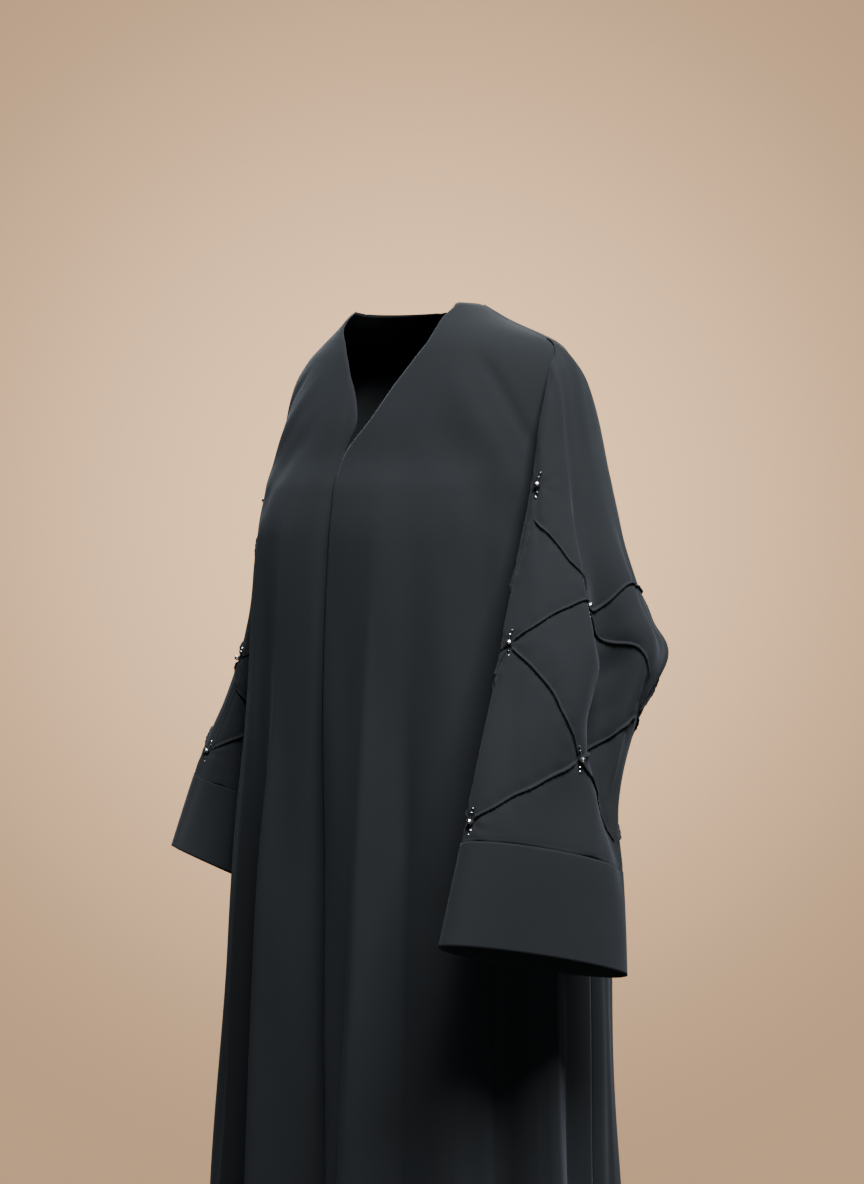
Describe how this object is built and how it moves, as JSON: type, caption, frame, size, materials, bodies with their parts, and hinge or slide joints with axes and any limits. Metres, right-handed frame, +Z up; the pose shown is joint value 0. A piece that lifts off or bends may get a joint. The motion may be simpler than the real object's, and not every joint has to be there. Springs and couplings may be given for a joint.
{
  "type": "abaya",
  "caption": "Long loose black abaya, hollow and open below, left front lapped over right, wide sleeves with deep cuffs and a trellis of narrow tucks with bead drops.",
  "frame": {"origin": "between the wearer's shoulders, level with the base of the neck, on the middle line", "axes": "+X towards the wearer's left, -Y towards the front, +Z up; the hem hangs at about z = -1.43 m"},
  "size_m": [0.5993, 0.4394, 1.4221],
  "materials": {
    "crepe": "matte black crepe with a soft sheen",
    "beads": "glossy black faceted glass"
  },
  "bodies": {
    "root": {"front_left": "crepe", "front_right": "crepe", "back_left": "crepe", "back_right": "crepe", "sleeve_outer_left": "crepe", "sleeve_under_left": "crepe", "cuff_left": "crepe", "tuck_left_start_upper": "crepe", "tuck_left_elbow_upper": "crepe", "tuck_left_elbow_lower": "crepe", "tuck_left_cuff_lower": "crepe", "tuck_left_upper_back_top": "crepe", "tuck_left_upper_back": "crepe", "tuck_left_lower_back": "crepe", "tuck_left_lower_back_cuff": "crepe", "tuck_left_start_under_upper": "crepe", "tuck_left_elbow_under_upper": "crepe", "tuck_left_elbow_under_lower": "crepe", "tuck_left_cuff_under_lower": "crepe", "tuck_left_back_top_under_upper": "crepe", "tuck_left_back_under_upper": "crepe", "tuck_left_back_under_lower": "crepe", "tuck_left_back_cuff_under_lower": "crepe", "bead_left_shoulder": "beads", "bead_left_elbow": "beads", "bead_left_cuff": "beads", "bead_left_upper": "beads", "bead_left_lower": "beads", "bead_left_under_upper": "beads", "bead_left_under_lower": "beads", "sleeve_outer_right": "crepe", "sleeve_under_right": "crepe", "cuff_right": "crepe", "tuck_right_start_upper": "crepe", "tuck_right_elbow_upper": "crepe", "tuck_right_elbow_lower": "crepe", "tuck_right_cuff_lower": "crepe", "tuck_right_upper_back_top": "crepe", "tuck_right_upper_back": "crepe", "tuck_right_lower_back": "crepe", "tuck_right_lower_back_cuff": "crepe", "tuck_right_start_under_upper": "crepe", "tuck_right_elbow_under_upper": "crepe", "tuck_right_elbow_under_lower": "crepe", "tuck_right_cuff_under_lower": "crepe", "tuck_right_back_top_under_upper": "crepe", "tuck_right_back_under_upper": "crepe", "tuck_right_back_under_lower": "crepe", "tuck_right_back_cuff_under_lower": "crepe", "bead_right_shoulder": "beads", "bead_right_elbow": "beads", "bead_right_cuff": "beads", "bead_right_upper": "beads", "bead_right_lower": "beads", "bead_right_under_upper": "beads", "bead_right_under_lower": "beads"}
  },
  "joints": []
}
